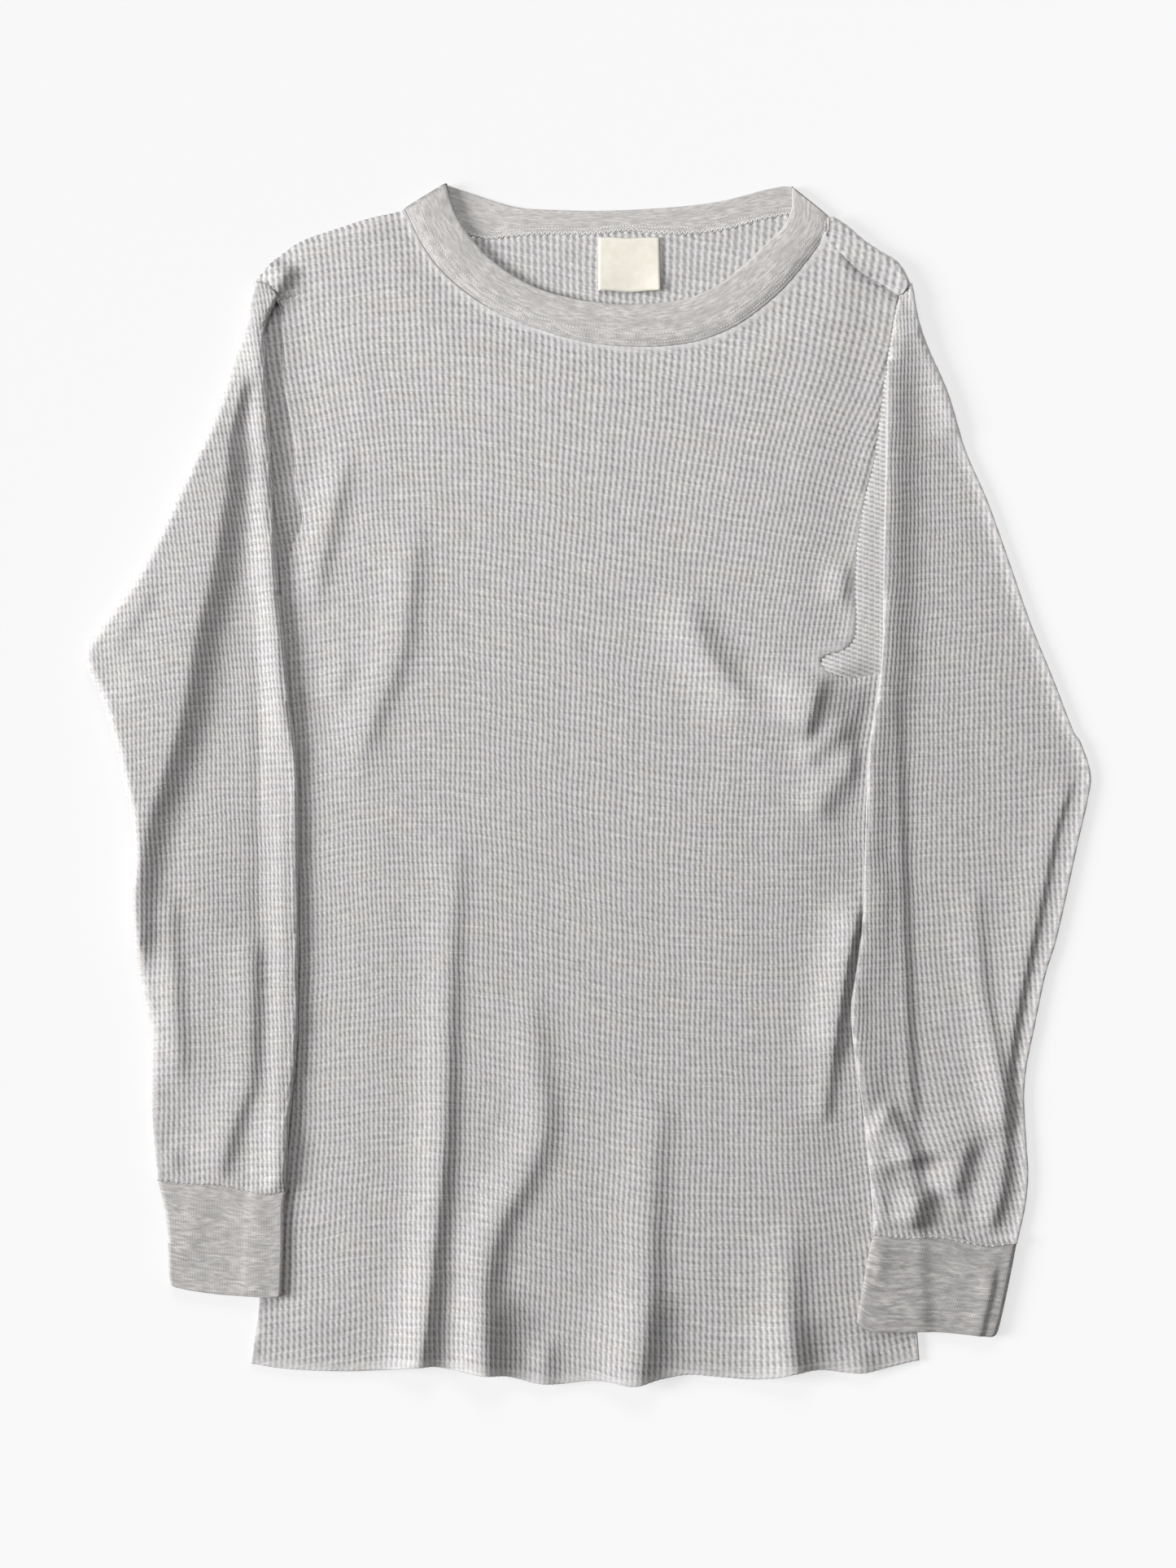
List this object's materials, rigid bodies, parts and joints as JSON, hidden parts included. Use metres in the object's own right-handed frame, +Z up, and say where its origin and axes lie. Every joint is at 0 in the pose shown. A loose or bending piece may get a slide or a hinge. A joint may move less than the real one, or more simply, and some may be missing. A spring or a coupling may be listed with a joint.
{
  "type": "thermal top",
  "caption": "Long-sleeved waffle-knit thermal top with a crew neckband and plain knit cuffs, laid flat on its back with the sleeves folded down beside the body.",
  "frame": {"origin": "on the surface the top lies on, below the middle of its outline", "axes": "+Y from the hem towards the neck, +Z up from the surface, +X towards the wearer's left sleeve"},
  "size_m": [0.594, 0.707, 0.0087],
  "materials": {
    "waffle_knit": "light heather grey waffle knit, matt",
    "band_jersey": "light heather grey doubled jersey, matt",
    "label_weave": "blank cream woven label, slight sheen"
  },
  "bodies": {
    "root": {"back_panel": "waffle_knit", "front_panel": "waffle_knit", "right_sleeve": "waffle_knit", "left_sleeve": "waffle_knit", "right_cuff": "band_jersey", "left_cuff": "band_jersey", "neckband": "band_jersey", "neck_label": "label_weave"}
  },
  "joints": []
}
